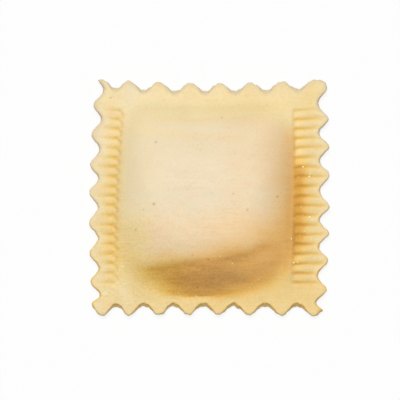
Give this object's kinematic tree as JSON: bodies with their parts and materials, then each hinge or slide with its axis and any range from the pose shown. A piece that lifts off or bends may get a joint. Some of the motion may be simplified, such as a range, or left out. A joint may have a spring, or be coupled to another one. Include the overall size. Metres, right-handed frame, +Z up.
{
  "type": "stuffed pasta square",
  "caption": "Square stuffed pasta piece lying flat: a soft raised pillow in a pressed rim with crimped sides and a fluted cut edge.",
  "frame": {"origin": "on the table, under the middle of the square's overall outline", "axes": "+Z up out of the pillow, +X towards the side with the wider row of crimps, +Y towards the back, away from the long sloping flank"},
  "size_m": [0.0498, 0.0492, 0.0098],
  "materials": {
    "dough": "fresh egg pasta dough, matt and slightly translucent, pale cream on top and warm ochre in the crimps"
  },
  "bodies": {
    "root": {"raviolo": "dough"}
  },
  "joints": []
}
